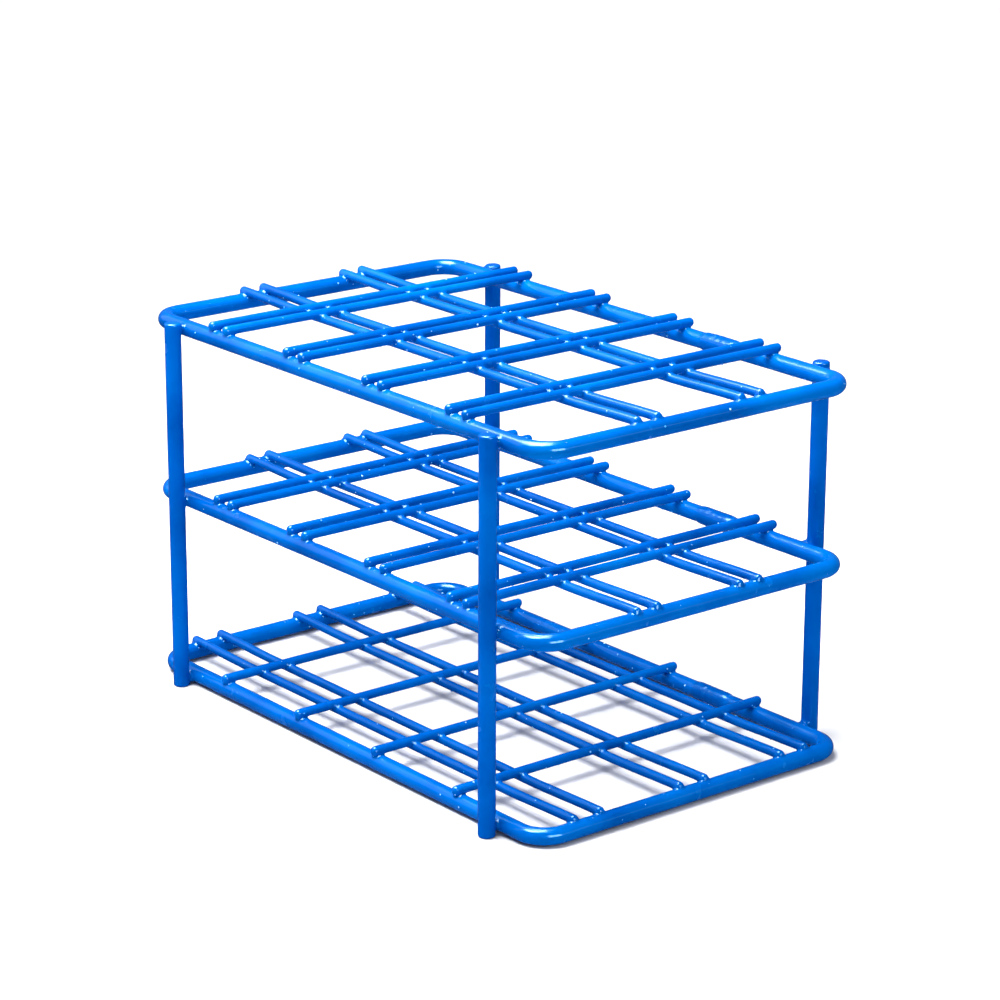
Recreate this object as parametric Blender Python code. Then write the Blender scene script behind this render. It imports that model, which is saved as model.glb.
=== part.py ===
"""Test tube rack of coated steel wire: three tiers on four legs, five places long by three wide.

X runs along the rack, Y across it and Z up; the feet of the legs stand on Z = 0.
Every wire is its own piece. Each tier is one bent frame ring with straight grid wires laid across it:
lengthwise wires below, cross wires above, sunk a little into each other as welded wires are.
All sizes are finished sizes over the coating, in metres.
"""
import math

import bmesh
import bpy
from mathutils import Vector

# Places for tubes
PLACES_LONG = 5
PLACES_WIDE = 3
TUBE_OPENING = 0.0277       # clear square between the wires around one tube
SIDE_OPENING = 0.0294       # the outer rows are a little wider, out to the frame ring

# Wire gauges (diameters)
FRAME_WIRE = 0.0048
LEG_ROD = 0.0048
GRID_WIRE = 0.0026

# Tiers
PAIR_SPACING = 0.0072       # centre to centre of the two wires of a divider
SUPPORT_SPACING = 0.0093    # centre to centre of the two wires under a row of tubes
CORNER_RADIUS = 0.0078      # bend of the frame ring, on its centre line
MIDDLE_RING_HEIGHT = 0.0584
GROUND_CLEARANCE = 0.0004   # bottom frame ring above the feet

# Legs
LEG_LENGTH = 0.1140
LEG_INSET = 0.0166          # leg axis in from the ends of the frame rings

# Joints between wires
JOINT_GAP = 0.0003          # clearance between two pieces that touch
SET_DOWN = 0.0008           # depth that a cross wire sinks into a lengthwise wire
CROSS_OVERRUN = 0.0024      # cross wire ends past the frame wire's centre line
LONG_OVERRUN = 0.0014       # lengthwise wire ends past the frame wire's centre line
WIRE_END_CHAMFER = 0.0004
LEG_END_CHAMFER = 0.0005

# Facets
WIRE_SIDES = 12
ROD_SIDES = 16
CORNER_STEPS = 6
SEAT_SIDES = 8              # a flat of this cutter faces down into the seat
SHARP_ANGLE = math.radians(40)

# Worked out from the sizes above
CELL_PITCH = TUBE_OPENING + GRID_WIRE + PAIR_SPACING
DIVIDER_EDGE = PAIR_SPACING / 2 + GRID_WIRE / 2
FRAME_HALF_X = (PLACES_LONG / 2 - 1) * CELL_PITCH + DIVIDER_EDGE + TUBE_OPENING + FRAME_WIRE / 2
FRAME_HALF_Y = (PLACES_WIDE / 2 - 1) * CELL_PITCH + DIVIDER_EDGE + SIDE_OPENING + FRAME_WIRE / 2
OUTER_ROW_Y = FRAME_HALF_Y - FRAME_WIRE / 2 - SIDE_OPENING / 2
TOP_RING_HEIGHT = LEG_LENGTH - FRAME_WIRE / 2
BOTTOM_RING_HEIGHT = GROUND_CLEARANCE + FRAME_WIRE / 2
CROSS_RISE = FRAME_WIRE / 2 + GRID_WIRE / 2 + JOINT_GAP
LONG_RISE = CROSS_RISE - GRID_WIRE + SET_DOWN
LEG_X = FRAME_HALF_X - LEG_INSET
LEG_Y = FRAME_HALF_Y + FRAME_WIRE / 2 + JOINT_GAP + LEG_ROD / 2

TIER_HEIGHTS = {"top": TOP_RING_HEIGHT, "middle": MIDDLE_RING_HEIGHT, "bottom": BOTTOM_RING_HEIGHT}
LEG_CORNERS = {
    "left_front_leg": (-1, -1),
    "right_front_leg": (1, -1),
    "right_back_leg": (1, 1),
    "left_back_leg": (-1, 1),
}

# Turns for a wire that was made along X
ACROSS = (0, 0, math.pi / 2)
UPRIGHT = (0, -math.pi / 2, 0)


def clear_scene():
    for thing in list(bpy.data.objects):
        bpy.data.objects.remove(thing, do_unlink=True)


def coating(name, colour, roughness):
    """Glossy blue coating over steel, in the tone of one kind of piece."""
    material = bpy.data.materials.new(name)
    material.use_nodes = True
    surface = material.node_tree.nodes["Principled BSDF"]
    surface.inputs["Base Color"].default_value = (*colour, 1.0)
    surface.inputs["Roughness"].default_value = roughness
    surface.inputs["Metallic"].default_value = 0.0
    material.diffuse_color = (*colour, 1.0)
    return material


def skin_round(name, stations, sides, material, closed=False):
    """Skin a row of level (centre, direction, radius) stations as one round solid."""
    bm = bmesh.new()
    loops = []
    for centre, direction, radius in stations:
        side = Vector((0, 0, 1)).cross(direction).normalized()
        over = direction.cross(side)
        loop = []
        for step in range(sides):
            angle = math.tau * (step + 0.5) / sides
            offset = side * math.cos(angle) + over * math.sin(angle)
            loop.append(bm.verts.new(centre + offset * radius))
        loops.append(loop)
    spans = len(loops) if closed else len(loops) - 1
    for index in range(spans):
        here = loops[index]
        ahead = loops[(index + 1) % len(loops)]
        for step in range(sides):
            after = (step + 1) % sides
            bm.faces.new((here[step], here[after], ahead[after], ahead[step]))
    if not closed:
        bm.faces.new(list(reversed(loops[0])))
        bm.faces.new(loops[-1])
    bmesh.ops.recalc_face_normals(bm, faces=bm.faces)
    mesh = bpy.data.meshes.new(name)
    bm.to_mesh(mesh)
    bm.free()
    mesh.shade_smooth()
    mesh.set_sharp_from_angle(angle=SHARP_ANGLE)
    mesh.materials.append(material)
    return mesh


def straight_mesh(name, length, diameter, chamfer, sides, material):
    """Cut length of round wire along X, centred on its middle, with a small chamfer at both ends."""
    along = Vector((1, 0, 0))
    radius = diameter / 2
    half_length = length / 2
    stations = [
        (-along * half_length, along, radius - chamfer),
        (-along * (half_length - chamfer), along, radius),
        (along * (half_length - chamfer), along, radius),
        (along * half_length, along, radius - chamfer),
    ]
    return skin_round(name, stations, sides, material)


def ring_mesh(material):
    """One wire bent into a rounded rectangle and closed on itself."""
    reach_x = FRAME_HALF_X - CORNER_RADIUS
    reach_y = FRAME_HALF_Y - CORNER_RADIUS
    corners = ((1, -1, -90), (1, 1, 0), (-1, 1, 90), (-1, -1, 180))
    stations = []
    for sign_x, sign_y, start_angle in corners:
        for step in range(CORNER_STEPS + 1):
            angle = math.radians(start_angle + 90 * step / CORNER_STEPS)
            outward = Vector((math.cos(angle), math.sin(angle), 0))
            along = Vector((-math.sin(angle), math.cos(angle), 0))
            centre = Vector((sign_x * reach_x, sign_y * reach_y, 0)) + outward * CORNER_RADIUS
            stations.append((centre, along, FRAME_WIRE / 2))
    return skin_round("frame_ring", stations, ROD_SIDES, material, closed=True)


def place(name, mesh, location, parent, turn=(0, 0, 0)):
    """Put a piece where it belongs on its parent."""
    piece = bpy.data.objects.new(name, mesh)
    piece.location = location
    piece.rotation_euler = turn
    piece.parent = parent
    bpy.context.collection.objects.link(piece)
    return piece


def divider_centres(places):
    """Middle of each divider between neighbouring places, along one direction."""
    return [(index - (places - 2) / 2) * CELL_PITCH for index in range(places - 1)]


def pair_around(centre, spacing):
    return [centre - spacing / 2, centre + spacing / 2]


def cross_positions(tier):
    """X of every cross wire: pairs between the places, single wires on the bottom tier."""
    centres = divider_centres(PLACES_LONG)
    if tier == "bottom":
        return centres
    return [x for centre in centres for x in pair_around(centre, PAIR_SPACING)]


def long_positions(tier):
    """Y of every lengthwise wire: pairs between the rows, or pairs under the rows on the bottom tier."""
    if tier == "bottom":
        dividers = divider_centres(PLACES_WIDE)
        inner_rows = [(near + far) / 2 for near, far in zip(dividers, dividers[1:])]
        rows = [-OUTER_ROW_Y, *inner_rows, OUTER_ROW_Y]
        return [y for row in rows for y in pair_around(row, SUPPORT_SPACING)]
    return [y for centre in divider_centres(PLACES_WIDE) for y in pair_around(centre, PAIR_SPACING)]


def seat_cutter(tier, parent):
    """Room for every cross wire and for the frame ring's two short sides, cut from the lengthwise wires."""
    flat_to_corner = 1 / math.cos(math.pi / SEAT_SIDES)
    bars = [(x, CROSS_RISE, GRID_WIRE / 2) for x in cross_positions(tier)]
    bars += [(sign * FRAME_HALF_X, 0, FRAME_WIRE / 2) for sign in (-1, 1)]
    bm = bmesh.new()
    for x, z, radius in bars:
        bar_radius = (radius + JOINT_GAP) * flat_to_corner
        loops = []
        for y in (-FRAME_HALF_Y, FRAME_HALF_Y):
            loop = []
            for step in range(SEAT_SIDES):
                angle = math.tau * (step + 0.5) / SEAT_SIDES
                corner = (x + bar_radius * math.cos(angle), y, z + bar_radius * math.sin(angle))
                loop.append(bm.verts.new(corner))
            loops.append(loop)
        near, far = loops
        for step in range(SEAT_SIDES):
            after = (step + 1) % SEAT_SIDES
            bm.faces.new((near[step], near[after], far[after], far[step]))
        bm.faces.new(list(reversed(near)))
        bm.faces.new(far)
    bmesh.ops.recalc_face_normals(bm, faces=bm.faces)
    mesh = bpy.data.meshes.new(f"{tier}_seat_cutter")
    bm.to_mesh(mesh)
    bm.free()
    cutter = place(f"{tier}_seat_cutter", mesh, (0, 0, 0), parent)
    cutter.hide_render = True
    cutter.display_type = "WIRE"
    return cutter


def fill_tier(tier, parent, ring, cross_wire, lengthwise_wire):
    """Frame ring, then the grid: lengthwise wires with their seats, and cross wires lying in the seats."""
    place(f"{tier}_frame_ring", ring, (0, 0, 0), parent)
    for number, x in enumerate(cross_positions(tier), start=1):
        place(f"{tier}_cross_wire_{number}", cross_wire, (x, 0, CROSS_RISE), parent, ACROSS)
    cutter = seat_cutter(tier, parent)
    for number, y in enumerate(long_positions(tier), start=1):
        wire = place(f"{tier}_lengthwise_wire_{number}", lengthwise_wire, (0, y, LONG_RISE), parent)
        seats = wire.modifiers.new("seats", "BOOLEAN")
        seats.operation = "DIFFERENCE"
        seats.solver = "EXACT"
        seats.object = cutter


def build():
    clear_scene()
    ring_coating = coating("frame_ring_coating", (0.0, 0.185, 0.80), 0.22)
    leg_coating = coating("leg_coating", (0.0, 0.145, 0.68), 0.25)
    cross_coating = coating("cross_wire_coating", (0.0, 0.215, 0.90), 0.20)
    long_coating = coating("lengthwise_wire_coating", (0.0, 0.170, 0.76), 0.22)

    ring = ring_mesh(ring_coating)
    cross_length = 2 * (FRAME_HALF_Y + CROSS_OVERRUN)
    cross_wire = straight_mesh(
        "cross_wire", cross_length, GRID_WIRE, WIRE_END_CHAMFER, WIRE_SIDES, cross_coating
    )
    long_length = 2 * (FRAME_HALF_X + LONG_OVERRUN)
    lengthwise_wire = straight_mesh(
        "lengthwise_wire", long_length, GRID_WIRE, WIRE_END_CHAMFER, WIRE_SIDES, long_coating
    )
    leg = straight_mesh("leg", LEG_LENGTH, LEG_ROD, LEG_END_CHAMFER, ROD_SIDES, leg_coating)

    rack = place("rack", None, (0, 0, 0), None)
    for tier, height in TIER_HEIGHTS.items():
        tier_middle = place(f"{tier}_tier", None, (0, 0, height), rack)
        fill_tier(tier, tier_middle, ring, cross_wire, lengthwise_wire)
    for name, (sign_x, sign_y) in LEG_CORNERS.items():
        place(name, leg, (sign_x * LEG_X, sign_y * LEG_Y, LEG_LENGTH / 2), rack, UPRIGHT)


build()
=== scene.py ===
import math
import random

import bmesh
import bpy
import numpy as np
from mathutils import Matrix, Vector


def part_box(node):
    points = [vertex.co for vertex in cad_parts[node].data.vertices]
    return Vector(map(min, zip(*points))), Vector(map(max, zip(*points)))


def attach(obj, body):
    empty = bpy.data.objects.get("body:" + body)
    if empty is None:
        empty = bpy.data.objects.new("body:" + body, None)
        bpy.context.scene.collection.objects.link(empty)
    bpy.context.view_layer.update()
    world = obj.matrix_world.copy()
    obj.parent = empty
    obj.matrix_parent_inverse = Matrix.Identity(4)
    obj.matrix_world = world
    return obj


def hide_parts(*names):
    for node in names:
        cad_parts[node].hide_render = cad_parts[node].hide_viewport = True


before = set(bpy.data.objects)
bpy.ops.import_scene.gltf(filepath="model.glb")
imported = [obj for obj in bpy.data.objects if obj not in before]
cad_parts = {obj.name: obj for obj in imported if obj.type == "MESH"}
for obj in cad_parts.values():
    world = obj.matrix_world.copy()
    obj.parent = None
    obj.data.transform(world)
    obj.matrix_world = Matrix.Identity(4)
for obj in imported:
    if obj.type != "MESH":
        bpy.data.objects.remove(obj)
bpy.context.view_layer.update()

# Looks of a welded steel wire test tube rack, dip coated in glossy blue epoxy.
# Each wire is its own piece. The coating swells into a fillet wherever one wire lies on another.

MM = 0.001

# Finished wires, over the coating
FRAME_WIRE = 4.98 * MM
LEG_ROD = 4.98 * MM
GRID_WIRE = 2.76 * MM
CORNER_BEND = 7.8 * MM          # centre line of the frame ring's bends
WIRE_END_ROUND = 1.15 * MM      # coating rounds the cut ends off
LEG_END_ROUND = 0.7 * MM
END_LIFT = 0.6 * MM             # the lengthwise wires ride up on the frame ring at their ends
END_LIFT_REACH = 31 * MM
WELD_SINK = 0.3 * MM            # welding closes the gap under a cross wire's ends
HAND_SLIP = {                   # mm that a tier's wires were laid off the middle, along themselves
    "top_lengthwise": -1.3,
    "bottom_lengthwise": -1.1,
    "top_cross": 0.4,
    "middle_cross": 0.8,
}

# Coating
FILLET = 1.15 * MM              # reach of the fillet between two wires
FILLET_OVERLAP = 0.2 * MM       # two wires share the fillet's surface this far past its middle
FILLET_SINK = 0.012 * MM        # past its middle a wire's own surface dips just under the other's
FILLET_STEP = 0.09 * MM
FILLET_STEPS = 18
FILLET_DONE = 0.002 * MM        # close enough to the coating's surface
FULL_FILLET = 0.32 * MM         # coating this much thicker counts as pooled
WAVE_HEIGHT = 0.016 * MM        # the dip dries slightly uneven
WAVE_LENGTHS = (4 * MM, 18 * MM)
WAVE_COUNT = 14
WAVE_GAIN = 2.5                 # many waves rarely peak together

# Welds
BUTT_WELD_X = 36 * MM           # where the two ends of the frame wire meet, on the back side
BUTT_WELD = (                   # mm along the wire from there, and mm of swelling
    (-3.2, 0.1),
    (-0.6, 0.2),
    (2.2, 0.24),
    (5.0, 0.18),
    (7.6, 0.08),
)
BUTT_WELD_SWELL = 0.33 * MM     # the most that it stands out
BUTT_WELD_FLASH = 0.55 * MM     # bead left on top of it
BUTT_WELD_FLASH_INSET = 0.3 * MM
BUTT_WELD_FLASH_PROUD = 0.4     # share of the bead's radius that stands out where none is ground off
BUTT_WELD_SHARE = {             # how much of it grinding left on each ring
    "top": 1.0,
    "middle": 0.6,
    "bottom": 0.2,
}
LEG_WELD_SPREAD = (0.9, 1.5)    # mm from the leg's middle to its weld lumps
LEG_WELD_HEIGHT = (-1.0, 1.3)   # mm from the ring's middle
LEG_WELD_SIZE = (0.55, 0.95)    # mm

# Mesh
FINE_STEP = 0.23 * MM           # along a wire beside a joint
COARSE_EVERY = 5                # fine steps in one step away from the joints
JOINT_REACH = 1.3 * MM          # another wire this close makes a stretch fine
FRAME_SIDES = 56
LEG_SIDES = 48
GRID_SIDES = 28
END_TURN_STEPS = 8              # round the edge of a wire's end
FLAT_STEPS = (0.02, 0.35, 0.7)  # shares of the way out over the flat of a wire's end
HAIR = 0.002 * MM               # between stations that would share a place

# Specks dried into the coating
NIB_SPACING = 3 * MM
NIB_DENSITY = 13000.0           # at most this many to a square metre
NIB_SIZES = (0.1 * MM, 0.34 * MM)
NIB_SIDES = 8
NIB_RINGS = 5
NIB_SQUASH = 0.75

# Patterns in the finishes: how long their waves are, and how high their relief
DRIFT_LENGTH = 26 * MM
MOTTLE_LENGTH = 2.4 * MM
RUB_LENGTH = 7 * MM
GLOSS_LENGTH = 11 * MM
# size of the patches of painted glint on the drops
GLINT_PATCH_LENGTH = 9 * MM
SAG_LENGTH = 5 * MM
SAG_HEIGHT = 0.03 * MM
PEEL_LENGTH = 1.1 * MM
PEEL_HEIGHT = 0.012 * MM
SPATTER_LENGTH = 0.7 * MM
SPATTER_HEIGHT = 0.12 * MM
CLOUD_LENGTH = 60 * MM
GRAIN_LENGTH = 0.8 * MM
GRAIN_HEIGHT = 0.03 * MM

# Epoxy
EPOXY_IOR = 1.5
CLEAR_COAT = 0.4
DROP_COAT = 0.5
COAT_ROUGHNESS = 0.03
ROUGHNESS = (0.21, 0.26)        # over the slow drift in the gloss
RUB_ROUGHNESS = 0.05            # more than that where it is rubbed
MOTTLE_SHARE = 0.1
RELIEF_STRENGTH = 0.6
GLOSS_TINT = "#5ed0ff"
# One epoxy on every kind of wire. The small differences between the kinds' blues are painted light and
# shade, set kind by kind to even out how brightly each kind is lit.
COATING_AND_SHADE_BLUES = {               # deep, plain and pale
    "frame_ring_coating": ("#004594", "#0055ac", "#0063ba"),
    "cross_wire_coating": ("#004698", "#0056b0", "#0064bd"),
    "lengthwise_wire_coating": ("#004392", "#0052aa", "#0060b8"),
    "leg_coating": ("#004294", "#0050ab", "#005cb9"),
}
PATTERN_SHIFTS = {              # so that no two finishes share their patterns
    "frame_ring_coating": (0, 0, 0),
    "cross_wire_coating": (0.31, 0, 0),
    "lengthwise_wire_coating": (0, 0.47, 0),
    "leg_coating": (0, 0, 0.59),
}
# painted glints: pale blues that the drops show in place of real highlights
GLINT_PAINT_BLUES = ("#0a6cc8", "#3c9ae4", "#9fd4f6")
TABLE_GREYS = ("#d1d1d3", "#d5d5d7")

# Studio: metres, watts and degrees
RACK_TOP = (0, 0, 0.1)
RACK_MIDDLE = (0, 0, 0.08)
SUNS = (                        # name, strength, width in degrees, where from, shows in the gloss
    ("white_ceiling", 3.8, 32, (-0.15, -0.23, 0.96), True),
    ("room_light", 0.9, 90, (0.74, -0.5, 0.42), False),
    ("window_light", 1.3, 70, (0.63, 0.78, 0.35), False),
)
SOFTBOXES = (                   # name, place, target, width, height, power, lights more than the gloss
    ("overhead_softbox", (-0.07, -0.1, 0.5), RACK_TOP, 0.42, 0.42, 5.2, True),
    ("overhead_card", (-0.12, -0.17, 0.9), RACK_TOP, 0.62, 0.62, 18, False),
    ("left_softbox", (-0.83, -0.48, 0.66), RACK_MIDDLE, 1.0, 0.8, 1.9, True),
    ("right_lamp", (1.2, -0.13, 0.46), RACK_MIDDLE, 0.85, 0.4, 15, False),
    ("right_wall", (1.3, 0.35, 0.46), RACK_MIDDLE, 1.3, 0.3, 1.1, True),
)
ROOM_GLOW = 0.08
FLOOR_SIZE = 14.0

# Camera
CAMERA_LENS = 120.98
CAMERA_TURN = 0.89278
CAMERA_RISE = 0.30329
CAMERA_ROLL = 0.00423
CAMERA_AIM = (0.00319, 0.06287)
CAMERA_DISTANCE = 1.00692
SENSOR_WIDTH = 36.0
NEAR_CLIP = 0.05

BLACK_POINT = 0.01
WHITE_POINT = 0.95

SEED = 11


# ---------------------------------------------------------------- wires

def smooth_union(first, second, reach):
    """Distance to two shapes run together by a fillet."""
    near = np.minimum(first, second)
    share = np.clip(1 - np.abs(first - second) / reach, 0, None)
    return near - reach / 4 * share ** 2


class Wire:
    """One piece of wire: its centre line, its rounded section and the weld beads that belong to it."""

    def __init__(self, name, radius, sides):
        self.name = name
        self.radius = radius
        self.sides = sides
        self.beads = []

    def distance(self, points):
        far = self.bare_distance(points)
        for centre, radius in self.beads:
            bead = np.linalg.norm(points - centre, axis=1) - radius
            far = smooth_union(far, bead, FILLET)
        return far

    def around(self, points, reach):
        """Which points lie within reach of the box round this wire."""
        low, high = self.box
        return np.all((points > low - reach) & (points < high + reach), axis=1)


class StraightWire(Wire):
    """Wire or rod cut to length, with its cut ends rounded off by the coating."""

    def __init__(self, name, start, end, radius, sides, end_round, end_lift=0.0):
        super().__init__(name, radius, sides)
        self.start = np.array(start)
        self.end_lift = end_lift
        self.length = float(np.linalg.norm(np.array(end) - self.start))
        self.axis = (np.array(end) - self.start) / self.length
        self.end_round = end_round
        self.closed = False
        ends = np.array([start, end])
        self.box = (ends.min(0) - radius, ends.max(0) + radius + end_lift)

    def lift(self, along):
        """How far the wire has ridden up at these places along it."""
        past = np.abs(along - self.length / 2) - (self.length / 2 - END_LIFT_REACH)
        share = np.clip(past / END_LIFT_REACH, 0, 1)
        return self.end_lift * share ** 2 * (3 - 2 * share)

    def bare_distance(self, points):
        offset = points - self.start
        along = offset @ self.axis
        offset[:, 2] -= self.lift(along)
        across = np.linalg.norm(offset - along[:, None] * self.axis, axis=1)
        past_end = np.abs(along - self.length / 2) - (self.length / 2 - self.end_round)
        past_side = across - (self.radius - self.end_round)
        outside = np.hypot(np.clip(past_end, 0, None), np.clip(past_side, 0, None))
        inside = np.minimum(np.maximum(past_end, past_side), 0)
        return outside + inside - self.end_round

    def centre_line(self, places):
        line = self.start + places[:, None] * self.axis
        line[:, 2] += self.lift(places)
        return line

    def bends(self, places):
        return np.zeros(len(places), bool)

    def end_stations(self):
        """Places and radii over the rounded end: out over the flat, then round the edge."""
        flat = self.radius - self.end_round
        over_flat = [(0.0, flat * share) for share in FLAT_STEPS]
        edge = []
        for turn in np.radians(np.linspace(0, 90, END_TURN_STEPS)):
            inward = self.end_round * (1 - math.cos(turn))
            outward = flat + self.end_round * math.sin(turn)
            edge.append((inward, outward))
        return over_flat + edge


class FrameRing(Wire):
    """Heavy wire bent into a level rounded rectangle, which lies round the origin."""

    def __init__(self, name, low, high, radius, bend, sides):
        super().__init__(name, radius, sides)
        self.height = (low.z + high.z) / 2
        wire_radius = (high.z - low.z) / 2
        self.straight_x = high.x - wire_radius - bend
        self.straight_y = high.y - wire_radius - bend
        self.bend = bend
        self.closed = True
        self.box = (np.array(low) - BUTT_WELD_SWELL, np.array(high) + BUTT_WELD_SWELL)
        arc = math.pi / 2 * bend
        self.runs = [2 * self.straight_x, arc, 2 * self.straight_y, arc] * 2
        self.length = sum(self.runs)

    def bare_distance(self, points):
        past_x = np.abs(points[:, 0]) - self.straight_x
        past_y = np.abs(points[:, 1]) - self.straight_y
        outside = np.hypot(np.clip(past_x, 0, None), np.clip(past_y, 0, None))
        inside = np.minimum(np.maximum(past_x, past_y), 0)
        off_line = outside + inside - self.bend
        return np.hypot(off_line, points[:, 2] - self.height) - self.radius

    def centre_line(self, places):
        """Round the ring from the start of its front side, anticlockwise from above."""
        starts = np.concatenate([[0], np.cumsum(self.runs)])
        corners = ((1, -1), (1, 1), (-1, 1), (-1, -1))
        line = np.zeros((len(places), 3))
        line[:, 2] = self.height
        for index in range(8):
            here = (places >= starts[index]) & (places < starts[index + 1] + 1e-12)
            travel = places[here] - starts[index]
            sign_x, sign_y = corners[index // 2]
            turned = math.pi / 2 * (index // 2)
            facing = np.array([math.sin(turned), -math.cos(turned)])
            ahead = np.array([math.cos(turned), math.sin(turned)])
            corner = np.array([sign_x * self.straight_x, sign_y * self.straight_y])
            if index % 2 == 0:
                short_of_corner = travel - self.runs[index]
                line[here, :2] = corner + facing * self.bend + np.outer(short_of_corner, ahead)
            else:
                angle = travel / self.bend
                spoke = np.outer(np.cos(angle), facing) + np.outer(np.sin(angle), ahead)
                line[here, :2] = corner + spoke * self.bend
        return line

    def bends(self, places):
        starts = np.concatenate([[0], np.cumsum(self.runs)])
        run = np.clip(np.searchsorted(starts, places, side="right") - 1, 0, 7)
        return run % 2 == 1


def wires_from_frame():
    """Every wire of the rack, lying where its CAD node lies."""
    wires = []
    for name in sorted(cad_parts):
        low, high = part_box(name)
        centre = (low + high) / 2
        if name.endswith("frame_ring"):
            wires.append(FrameRing(name, low, high, FRAME_WIRE / 2, CORNER_BEND, FRAME_SIDES))
            continue
        longest = max(range(3), key=lambda side: high[side] - low[side])
        start, end = centre.copy(), centre.copy()
        slip = HAND_SLIP.get(name.split("_wire")[0], 0.0) * MM
        start[longest], end[longest] = low[longest] + slip, high[longest] + slip
        is_leg = longest == 2
        radius = LEG_ROD / 2 if is_leg else GRID_WIRE / 2
        end_round = LEG_END_ROUND if is_leg else WIRE_END_ROUND
        sides = LEG_SIDES if is_leg else GRID_SIDES
        end_lift = END_LIFT if "lengthwise" in name else 0.0
        if "cross" in name:
            start.z -= WELD_SINK
            end.z -= WELD_SINK
        wires.append(StraightWire(name, start, end, radius, sides, end_round, end_lift))
    return wires


def add_weld_beads(wires):
    """Butt weld on the back of each ring, and small lumps where the legs are welded on."""
    rng = random.Random(SEED)
    rings = [wire for wire in wires if isinstance(wire, FrameRing)]
    legs = [wire for wire in wires if wire.name.endswith("leg")]
    for ring in rings:
        back = ring.straight_y + ring.bend
        share = BUTT_WELD_SHARE[ring.name.split("_")[0]]
        for along, swelling in BUTT_WELD:
            place = np.array([BUTT_WELD_X + along * MM, back, ring.height])
            ring.beads.append((place, ring.radius + swelling * share * MM))
        sunk = BUTT_WELD_FLASH * (1 - BUTT_WELD_FLASH_PROUD * share)
        flash = np.array([BUTT_WELD_X, back - BUTT_WELD_FLASH_INSET, ring.height + ring.radius - sunk])
        ring.beads.append((flash, BUTT_WELD_FLASH))
        for leg in legs:
            side = math.copysign(1, leg.start[1])
            for turn in (-1, 1):
                place = np.array([
                    leg.start[0] + turn * rng.uniform(*LEG_WELD_SPREAD) * MM,
                    side * (back + ring.radius),
                    ring.height + rng.uniform(*LEG_WELD_HEIGHT) * MM,
                ])
                ring.beads.append((place, rng.uniform(*LEG_WELD_SIZE) * MM))


def stations(wire, others):
    """Places along the wire with their radii, close together beside every joint."""
    count = int(wire.length / FINE_STEP)
    places = np.linspace(0, wire.length, count, endpoint=not wire.closed)
    if not wire.closed:
        inset = wire.end_round + FINE_STEP
        places = places[(places > inset) & (places < wire.length - inset)]
    line = wire.centre_line(places)
    nearest = np.full(len(places), np.inf)
    for other in others:
        nearest = np.minimum(nearest, other.distance(line))
    for centre, radius in wire.beads:
        nearest = np.minimum(nearest, np.linalg.norm(line - centre, axis=1) - radius)
    keep = nearest < wire.radius + JOINT_REACH
    order = np.arange(len(places))
    keep |= order % COARSE_EVERY == 0
    keep |= wire.bends(places) & (order % 2 == 0)
    places = places[keep]
    radii = np.full(len(places), wire.radius)
    if wire.closed:
        return places, radii
    ends = np.array(wire.end_stations())
    places = np.concatenate([ends[:, 0], places, wire.length - ends[::-1, 0]])
    radii = np.concatenate([ends[:, 1], radii, ends[::-1, 1]])
    # the stations over the flat of an end step outwards by a hair, so that none share a place
    flat = len(FLAT_STEPS)
    places[:flat] -= HAIR * np.arange(flat, 0, -1)
    places[-flat:] += HAIR * np.arange(1, flat + 1)
    return places, radii


# ---------------------------------------------------------------- node trees

def put(tree, kind, inputs=None, stops=(), **settings):
    """Add a node: inputs are values or sockets to link from, stops a ramp's, settings its options."""
    node = tree.nodes.new(kind)
    for key, value in settings.items():
        setattr(node, key, value)
    for index, (position, tone) in enumerate(stops):
        elements = node.color_ramp.elements
        element = elements[index] if index < len(elements) else elements.new(position)
        element.position = position
        element.color = tone
    for key, value in (inputs or {}).items():
        if isinstance(value, bpy.types.NodeSocket):
            tree.links.new(value, node.inputs[key])
        else:
            node.inputs[key].default_value = value
    return node


def geometry_tree(name, sockets):
    """Empty Geometry Nodes tree with its named inputs."""
    tree = bpy.data.node_groups.new(name, "GeometryNodeTree")
    tree.interface.new_socket("Geometry", in_out="INPUT", socket_type="NodeSocketGeometry")
    for label, kind in sockets:
        tree.interface.new_socket(label, in_out="INPUT", socket_type=kind)
    tree.interface.new_socket("Geometry", in_out="OUTPUT", socket_type="NodeSocketGeometry")
    return tree


def wire_tree():
    """Skin a line of edges with a round section, whose size at each point rounds the wire's ends off."""
    tree = geometry_tree("wire_skin", [
        ("Wire radius", "NodeSocketFloat"),
        ("Sides", "NodeSocketInt"),
        ("Coating", "NodeSocketMaterial"),
    ])
    given = put(tree, "NodeGroupInput")
    section = put(tree, "GeometryNodeCurvePrimitiveCircle", {
        "Resolution": given.outputs["Sides"],
        "Radius": given.outputs["Wire radius"],
    })
    path = put(tree, "GeometryNodeMeshToCurve", {"Mesh": given.outputs["Geometry"]})
    size = put(tree, "GeometryNodeInputNamedAttribute", {"Name": "section_size"}, data_type="FLOAT")
    skin = put(tree, "GeometryNodeCurveToMesh", {
        "Curve": path.outputs["Curve"],
        "Profile Curve": section.outputs["Curve"],
        "Scale": size.outputs["Attribute"],
        "Fill Caps": True,
    })
    smooth = put(tree, "GeometryNodeSetShadeSmooth", {"Geometry": skin.outputs["Mesh"]})
    solid = put(tree, "GeometryNodeRealizeInstances", {"Geometry": smooth.outputs["Geometry"]})
    coated = put(tree, "GeometryNodeSetMaterial", {
        "Geometry": solid.outputs["Geometry"],
        "Material": given.outputs["Coating"],
    })
    put(tree, "NodeGroupOutput", {"Geometry": coated.outputs["Geometry"]})
    return tree


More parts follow.
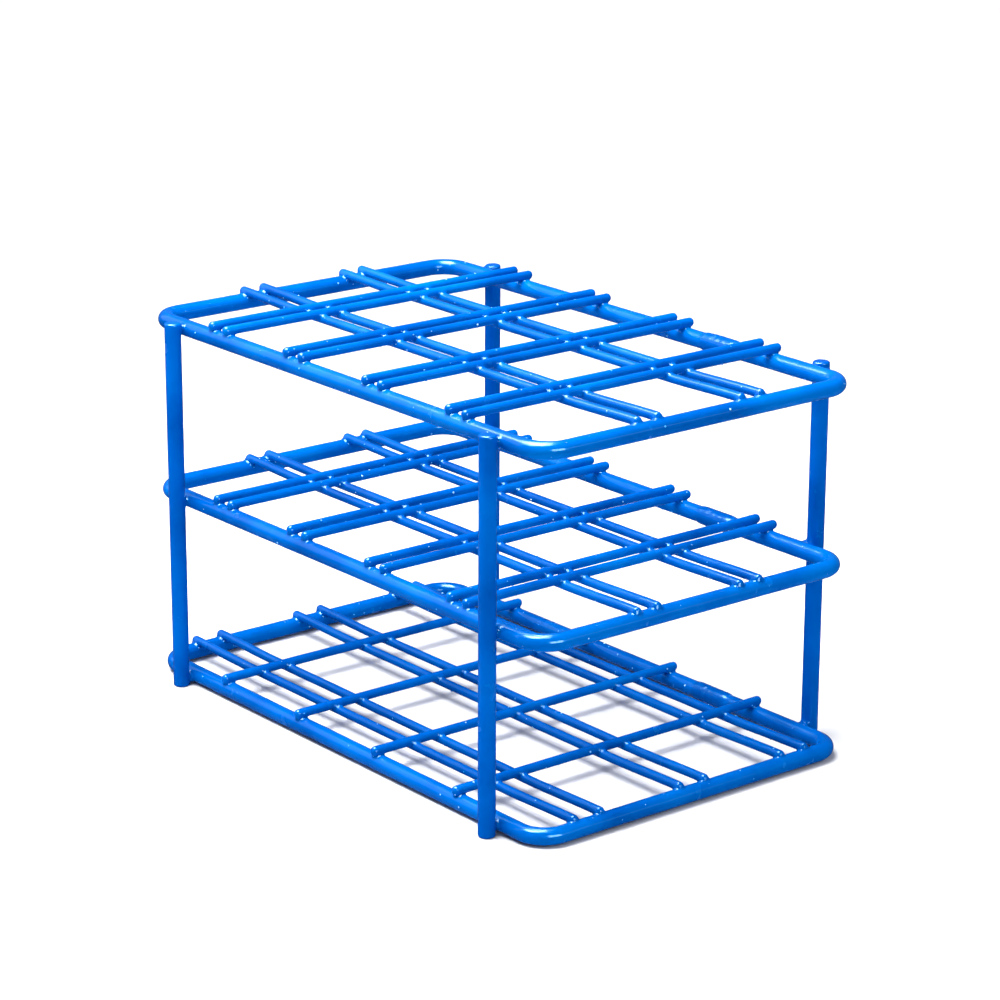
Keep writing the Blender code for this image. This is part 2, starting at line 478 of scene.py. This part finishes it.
def nib_tree():
    """Scatter small half-sunk drops of coating over a wire's surface."""
    tree = geometry_tree("coating_nibs", [
        ("Spacing", "NodeSocketFloat"),
        ("Density", "NodeSocketFloat"),
        ("Smallest", "NodeSocketFloat"),
        ("Largest", "NodeSocketFloat"),
        ("Seed", "NodeSocketInt"),
        ("Coating", "NodeSocketMaterial"),
    ])
    given = put(tree, "NodeGroupInput")
    spots = put(tree, "GeometryNodeDistributePointsOnFaces", {
        "Mesh": given.outputs["Geometry"],
        "Distance Min": given.outputs["Spacing"],
        "Density Max": given.outputs["Density"],
        "Seed": given.outputs["Seed"],
    }, distribute_method="POISSON")
    drop = put(tree, "GeometryNodeMeshUVSphere", {
        "Segments": NIB_SIDES,
        "Rings": NIB_RINGS,
        "Radius": 1.0,
    })
    flatter = put(tree, "GeometryNodeTransform", {
        "Geometry": drop.outputs["Mesh"],
        "Scale": (1.0, 1.0, NIB_SQUASH),
    })
    size = put(tree, "FunctionNodeRandomValue", {
        2: given.outputs["Smallest"],
        3: given.outputs["Largest"],
        "Seed": given.outputs["Seed"],
    }, data_type="FLOAT")
    drops = put(tree, "GeometryNodeInstanceOnPoints", {
        "Points": spots.outputs["Points"],
        "Instance": flatter.outputs["Geometry"],
        "Rotation": spots.outputs["Rotation"],
        "Scale": size.outputs[1],
    })
    solid = put(tree, "GeometryNodeRealizeInstances", {"Geometry": drops.outputs["Instances"]})
    smooth = put(tree, "GeometryNodeSetShadeSmooth", {"Geometry": solid.outputs["Geometry"]})
    coated = put(tree, "GeometryNodeSetMaterial", {
        "Geometry": smooth.outputs["Geometry"],
        "Material": given.outputs["Coating"],
    })
    put(tree, "NodeGroupOutput", {"Geometry": coated.outputs["Geometry"]})
    return tree


def grown_mesh(thing, tree, values):
    """Run a geometry tree on an object and return what it makes as a plain mesh."""
    grower = thing.modifiers.new("grower", "NODES")
    grower.node_group = tree
    for item in tree.interface.items_tree:
        if item.item_type == "SOCKET" and item.in_out == "INPUT" and item.name in values:
            grower[item.identifier] = values[item.name]
    bpy.context.view_layer.update()
    shown = thing.evaluated_get(bpy.context.evaluated_depsgraph_get())
    mesh = bpy.data.meshes.new_from_object(shown)
    thing.modifiers.remove(grower)
    return mesh


# ---------------------------------------------------------------- coated pieces

class Waves:
    """Slow unevenness of the dried coating, the same at every run."""

    def __init__(self, seed):
        rng = np.random.default_rng(seed)
        turns = rng.normal(size=(WAVE_COUNT, 3))
        turns /= np.linalg.norm(turns, axis=1)[:, None]
        short, long = WAVE_LENGTHS
        lengths = short * (long / short) ** rng.random(WAVE_COUNT)
        self.steps = turns * (math.tau / lengths)[:, None]
        self.starts = rng.random(WAVE_COUNT) * math.tau
        self.heights = lengths / lengths.max()

    def height(self, points):
        phases = points @ self.steps.T + self.starts
        return np.sin(phases) @ self.heights / self.heights.sum() * WAVE_HEIGHT * WAVE_GAIN


def nearest_distance(wires, points, reach):
    """Distance to the nearest of some wires. Past reach it is just a large number."""
    far = np.full(len(points), 2 * reach)
    for wire in wires:
        close = wire.around(points, reach)
        if close.any():
            far[close] = np.minimum(far[close], wire.distance(points[close]))
    return far


def swell_into_fillets(mesh, wire, others, waves):
    """Move the wire's skin out to the coating's surface, which bridges to every wire that it touches."""
    count = len(mesh.vertices)
    points = np.zeros(count * 3)
    normals = np.zeros(count * 3)
    mesh.vertices.foreach_get("co", points)
    mesh.vertex_normals.foreach_get("vector", normals)
    points = points.reshape(-1, 3)
    normals = normals.reshape(-1, 3)

    moving = nearest_distance(others, points, 2 * FILLET) < FILLET
    for centre, radius in wire.beads:
        moving |= np.linalg.norm(points - centre, axis=1) - radius < FILLET
    moving = np.where(moving)[0]
    raised = np.zeros(count)
    for _ in range(FILLET_STEPS):
        places = points[moving] + normals[moving] * raised[moving, None]
        own = wire.distance(places)
        other = nearest_distance(others, places, 2 * FILLET)
        sunk = smooth_union(own, other, FILLET) + np.where(own > other, FILLET_SINK, 0)
        going = (sunk < -FILLET_DONE) & (own - other < FILLET_OVERLAP)
        moving = moving[going]
        raised[moving] += np.clip(-sunk[going], 0, FILLET_STEP)
    thickness = np.clip(raised / FULL_FILLET, 0, 1)
    raised += waves.height(points)
    points += normals * raised[:, None]
    mesh.vertices.foreach_set("co", points.ravel())
    coat = mesh.attributes.new("coat_thickness", "FLOAT", "POINT")
    coat.data.foreach_set("value", thickness.astype(np.float32))
    mesh.update()


def centre_line_mesh(wire, others):
    """Bare line of edges along the wire, with the section's size at every point."""
    places, radii = stations(wire, others)
    line = wire.centre_line(places)
    mesh = bpy.data.meshes.new(wire.name + "_centre_line")
    last = len(line) - 1
    edges = [(index, index + 1) for index in range(last)]
    if wire.closed:
        edges.append((last, 0))
    mesh.from_pydata(line.tolist(), edges, [])
    size = mesh.attributes.new("section_size", "FLOAT", "POINT")
    size.data.foreach_set("value", (radii / wire.radius).astype(np.float32))
    return mesh


def coated_wire(wire, wires, tree, coating, waves):
    """Finished piece for one CAD node: the wire's skin, run into its neighbours by the coating."""
    others = [other for other in wires if other is not wire]
    near = [other for other in others if boxes_meet(wire.box, other.box, 2 * FILLET)]
    piece = new_object("coated_" + wire.name, centre_line_mesh(wire, near))
    values = {"Wire radius": wire.radius, "Sides": wire.sides, "Coating": coating}
    mesh = grown_mesh(piece, tree, values)
    swell_into_fillets(mesh, wire, near, waves)
    swap_mesh(piece, mesh)
    return piece


def coating_nibs(tier, pieces, tree, coating, seed):
    """Specks and dried drops in the coating of one tier, coloured pale as painted glints."""
    joined = bpy.data.meshes.new(tier + "_nib_ground")
    ground = bmesh.new()
    for piece in pieces:
        ground.from_mesh(piece.data)
    ground.to_mesh(joined)
    ground.free()
    nibs = new_object(tier + "_coating_nibs", joined)
    values = {
        "Spacing": NIB_SPACING,
        "Density": NIB_DENSITY,
        "Smallest": NIB_SIZES[0],
        "Largest": NIB_SIZES[1],
        "Seed": seed,
        "Coating": coating,
    }
    swap_mesh(nibs, grown_mesh(nibs, tree, values))
    return nibs


def boxes_meet(first, second, reach):
    """Whether two boxes lie within reach of each other."""
    return np.all(first[0] - reach < second[1]) and np.all(second[0] - reach < first[1])


def new_object(name, mesh):
    thing = bpy.data.objects.new(name, mesh)
    bpy.context.scene.collection.objects.link(thing)
    return thing


def swap_mesh(thing, mesh):
    """Give an object its finished mesh and drop the one that it was grown from."""
    spare = thing.data
    mesh.name = thing.name
    thing.data = mesh
    bpy.data.meshes.remove(spare)


# ---------------------------------------------------------------- materials

def colour(code):
    """Linear colour from an sRGB hex code."""
    parts = [int(code[place:place + 2], 16) / 255 for place in (1, 3, 5)]
    linear = [part / 12.92 if part <= 0.04045 else ((part + 0.055) / 1.055) ** 2.4 for part in parts]
    return (*linear, 1.0)


def new_material(name):
    """Material with an empty node tree."""
    material = bpy.data.materials.new(name)
    material.use_nodes = True
    material.node_tree.nodes.clear()
    return material


def dip_coating(slot):
    """Blue epoxy over steel: wet-looking gloss, faint orange peel, deeper colour where it gathers."""
    deep, plain, pale = [colour(code) for code in COATING_AND_SHADE_BLUES[slot]]
    material = new_material("blue_epoxy_on_" + slot.removesuffix("_coating") + "s")
    tree = material.node_tree
    where = put(tree, "ShaderNodeTexCoord")
    moved = put(tree, "ShaderNodeVectorMath", {
        0: where.outputs["Object"],
        1: PATTERN_SHIFTS[slot],
    }, operation="ADD")
    place = moved.outputs["Vector"]

    # slow drift of tone along the wires, with a little mottling in it
    drift = put(tree, "ShaderNodeTexNoise", {"Vector": place, "Scale": 1 / DRIFT_LENGTH, "Detail": 3.0})
    mottle = put(tree, "ShaderNodeTexNoise", {
        "Vector": place,
        "Scale": 1 / MOTTLE_LENGTH,
        "Detail": 3.0,
    })
    blend = put(tree, "ShaderNodeMix", {
        "Factor": MOTTLE_SHARE,
        2: drift.outputs["Fac"],
        3: mottle.outputs["Fac"],
    }, data_type="FLOAT")
    tone = put(tree, "ShaderNodeValToRGB", {"Fac": blend.outputs[0]}, [
        (0.3, deep),
        (0.5, plain),
        (0.72, pale),
    ])

    # the coating gathers in the fillets, and looks deeper there
    gathered = put(tree, "ShaderNodeAttribute", attribute_name="coat_thickness")
    depth = put(tree, "ShaderNodeMapRange", {
        "Value": gathered.outputs["Fac"],
        "From Min": 0.1,
        "To Max": 0.7,
    })
    pooled = put(tree, "ShaderNodeMix", {
        "Factor": depth.outputs["Result"],
        6: tone.outputs["Color"],
        7: deep,
    }, data_type="RGBA")

    # dull rub marks where glass has knocked the gloss
    rub_field = put(tree, "ShaderNodeTexNoise", {
        "Vector": place,
        "Scale": 1 / RUB_LENGTH,
        "Detail": 5.0,
    })
    rubbed = put(tree, "ShaderNodeMapRange", {
        "Value": rub_field.outputs["Fac"],
        "From Min": 0.58,
        "From Max": 0.72,
        "To Max": RUB_ROUGHNESS,
    })
    gloss_field = put(tree, "ShaderNodeTexNoise", {"Vector": place, "Scale": 1 / GLOSS_LENGTH})
    base_gloss = put(tree, "ShaderNodeMapRange", {
        "Value": gloss_field.outputs["Fac"],
        "From Min": 0.3,
        "From Max": 0.7,
        "To Min": ROUGHNESS[0],
        "To Max": ROUGHNESS[1],
    })
    worn_gloss = put(tree, "ShaderNodeMath", {
        0: rubbed.outputs["Result"],
        1: base_gloss.outputs["Result"],
    }, operation="ADD")

    # relief: slow sags, fine orange peel, and lumps of spatter under the coating at the welds
    sag = put(tree, "ShaderNodeTexNoise", {"Vector": place, "Scale": 1 / SAG_LENGTH, "Detail": 1.0})
    peel = put(tree, "ShaderNodeTexNoise", {"Vector": place, "Scale": 1 / PEEL_LENGTH, "Detail": 1.0})
    spatter = put(tree, "ShaderNodeTexNoise", {
        "Vector": place,
        "Scale": 1 / SPATTER_LENGTH,
        "Detail": 2.0,
    })
    at_welds = put(tree, "ShaderNodeMath", {
        0: spatter.outputs["Fac"],
        1: depth.outputs["Result"],
    }, operation="MULTIPLY")
    sags = put(tree, "ShaderNodeBump", {
        "Height": sag.outputs["Fac"],
        "Distance": SAG_HEIGHT,
        "Strength": RELIEF_STRENGTH,
    })
    peels = put(tree, "ShaderNodeBump", {
        "Height": peel.outputs["Fac"],
        "Distance": PEEL_HEIGHT,
        "Strength": RELIEF_STRENGTH,
        "Normal": sags.outputs["Normal"],
    })
    lumps = put(tree, "ShaderNodeBump", {
        "Height": at_welds.outputs["Value"],
        "Distance": SPATTER_HEIGHT,
        "Strength": RELIEF_STRENGTH,
        "Normal": peels.outputs["Normal"],
    })

    surface = put(tree, "ShaderNodeBsdfPrincipled", {
        "Base Color": pooled.outputs[2],
        "Roughness": worn_gloss.outputs["Value"],
        "IOR": EPOXY_IOR,
        "Specular IOR Level": 0.5,
        "Specular Tint": colour(GLOSS_TINT),
        "Coat Weight": CLEAR_COAT,
        "Coat Roughness": COAT_ROUGHNESS,
        "Coat IOR": EPOXY_IOR,
        "Normal": lumps.outputs["Normal"],
        "Coat Normal": lumps.outputs["Normal"],
    })
    put(tree, "ShaderNodeOutputMaterial", {"Surface": surface.outputs["BSDF"]})
    return material


def painted_glint_finish():
    """Drops of the same epoxy, coloured pale blue to near white in patches: painted glints, so that each
    one looks lit.
    """
    material = new_material("pale_epoxy_drops")
    tree = material.node_tree
    where = put(tree, "ShaderNodeTexCoord")
    place = where.outputs["Object"]
    glint_patch = put(tree, "ShaderNodeTexNoise", {"Vector": place, "Scale": 1 / GLINT_PATCH_LENGTH})
    blue, mid_blue, painted_glint_blue = [colour(code) for code in GLINT_PAINT_BLUES]
    # painted glint: the drops turn pale in patches, as if caught by the light
    tone = put(tree, "ShaderNodeValToRGB", {"Fac": glint_patch.outputs["Fac"]}, [
        (0.35, blue),
        (0.5, mid_blue),
        (0.65, painted_glint_blue),
    ])
    grit = put(tree, "ShaderNodeTexNoise", {"Vector": place, "Scale": 1 / PEEL_LENGTH})
    rough = put(tree, "ShaderNodeMapRange", {"Value": grit.outputs["Fac"], "To Min": 0.1, "To Max": 0.3})
    bumps = put(tree, "ShaderNodeBump", {"Height": grit.outputs["Fac"], "Distance": PEEL_HEIGHT})
    surface = put(tree, "ShaderNodeBsdfPrincipled", {
        "Base Color": tone.outputs["Color"],
        "Roughness": rough.outputs["Result"],
        "IOR": EPOXY_IOR,
        "Coat Weight": DROP_COAT,
        "Coat Roughness": COAT_ROUGHNESS,
        "Normal": bumps.outputs["Normal"],
    })
    put(tree, "ShaderNodeOutputMaterial", {"Surface": surface.outputs["BSDF"]})
    return material


def studio_floor():
    """Matt white laminate: it mirrors nothing and only takes soft shadows, over a very faint grain."""
    material = new_material("matt_white_table")
    tree = material.node_tree
    where = put(tree, "ShaderNodeTexCoord")
    place = where.outputs["Object"]
    cloud = put(tree, "ShaderNodeTexNoise", {"Vector": place, "Scale": 1 / CLOUD_LENGTH, "Detail": 4.0})
    tone = put(tree, "ShaderNodeValToRGB", {"Fac": cloud.outputs["Fac"]}, [
        (0.3, colour(TABLE_GREYS[0])),
        (0.7, colour(TABLE_GREYS[1])),
    ])
    grain = put(tree, "ShaderNodeTexNoise", {"Vector": place, "Scale": 1 / GRAIN_LENGTH})
    bumps = put(tree, "ShaderNodeBump", {
        "Height": grain.outputs["Fac"],
        "Distance": GRAIN_HEIGHT,
        "Strength": 0.5,
    })
    surface = put(tree, "ShaderNodeBsdfPrincipled", {
        "Base Color": tone.outputs["Color"],
        "Roughness": 0.85,
        "Specular IOR Level": 0.15,
        "Normal": bumps.outputs["Normal"],
    })
    put(tree, "ShaderNodeOutputMaterial", {"Surface": surface.outputs["BSDF"]})
    return material


# ---------------------------------------------------------------- studio

def aim(thing, place, target):
    """Put a light at a place and point it at a target."""
    thing.location = place
    thing.rotation_euler = (Vector(target) - Vector(place)).to_track_quat("-Z", "Y").to_euler()


def build_table():
    """Table top, kept out of the gloss so that the wires' undersides stay deep blue."""
    half = FLOOR_SIZE / 2
    corners = [(-half, -half, 0), (half, -half, 0), (half, half, 0), (-half, half, 0)]
    mesh = bpy.data.meshes.new("table_top")
    mesh.from_pydata(corners, [], [(0, 1, 2, 3)])
    mesh.materials.append(studio_floor())
    table = new_object("table_top", mesh)
    table.visible_glossy = False


def build_lights():
    """Wide suns for the room, and soft boxes close by for the wires' highlights."""
    for name, strength, width, source, in_gloss in SUNS:
        lamp = bpy.data.lights.new(name, "SUN")
        lamp.energy = strength
        lamp.angle = math.radians(width)
        sun = new_object(name, lamp)
        aim(sun, source, (0, 0, 0))
        sun.visible_glossy = in_gloss
    for name, place, target, width, height, power, lights_all in SOFTBOXES:
        lamp = bpy.data.lights.new(name, "AREA")
        lamp.shape = "RECTANGLE"
        lamp.size = width
        lamp.size_y = height
        lamp.energy = power
        box = new_object(name, lamp)
        aim(box, place, target)
        box.visible_diffuse = lights_all
    world = bpy.data.worlds.new("studio_room")
    world.use_nodes = True
    room = world.node_tree.nodes["Background"]
    room.inputs["Color"].default_value = (1.0, 1.0, 1.0, 1.0)
    room.inputs["Strength"].default_value = ROOM_GLOW
    bpy.context.scene.world = world


def build_camera():
    lens = bpy.data.cameras.new("camera")
    lens.lens = CAMERA_LENS
    lens.sensor_width = SENSOR_WIDTH
    lens.clip_start = NEAR_CLIP
    turn, rise, roll = CAMERA_TURN, CAMERA_RISE, CAMERA_ROLL
    right = Vector((math.cos(turn), math.sin(turn), 0))
    back = Vector((math.sin(turn) * math.cos(rise), -math.cos(turn) * math.cos(rise), math.sin(rise)))
    up = back.cross(right)
    across = right * math.cos(roll) + up * math.sin(roll)
    upward = up * math.cos(roll) - right * math.sin(roll)
    spot = across * CAMERA_AIM[0] + upward * CAMERA_AIM[1] + back * CAMERA_DISTANCE
    camera = new_object("camera", lens)
    camera.matrix_world = Matrix((
        (across.x, upward.x, back.x, spot.x),
        (across.y, upward.y, back.y, spot.y),
        (across.z, upward.z, back.z, spot.z),
        (0, 0, 0, 1),
    ))
    bpy.context.scene.camera = camera


def set_exposure():
    """Plain contrast, with the black and white points drawn in a little for a clean white table."""
    view = bpy.context.scene.view_settings
    view.view_transform = "Standard"
    view.use_curve_mapping = True
    view.curve_mapping.black_level = (BLACK_POINT,) * 3
    view.curve_mapping.white_level = (WHITE_POINT,) * 3


# ---------------------------------------------------------------- rack

def slot_of(node):
    """Material slot of a CAD node."""
    for kind in ("frame_ring", "cross_wire", "lengthwise_wire"):
        if kind in node:
            return kind + "_coating"
    return "leg_coating"


def build_rack():
    wires = wires_from_frame()
    add_weld_beads(wires)
    coatings = {slot: dip_coating(slot) for slot in COATING_AND_SHADE_BLUES}
    skin = wire_tree()
    drops = nib_tree()
    # the drops' finish, painted pale as glints
    glint_drop_finish = painted_glint_finish()
    waves = Waves(SEED)
    pieces = {}
    for wire in wires:
        slot = slot_of(wire.name)
        piece = coated_wire(wire, wires, skin, coatings[slot], waves)
        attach(piece, "root")
        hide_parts(wire.name)
        pieces[wire.name] = piece
    for number, tier in enumerate(("top", "middle", "bottom")):
        ground = [piece for name, piece in pieces.items() if name.startswith(tier)]
        nibs = coating_nibs(tier, ground, drops, glint_drop_finish, SEED + number)
        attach(nibs, "root")


build_rack()
build_table()
build_lights()
build_camera()
set_exposure()
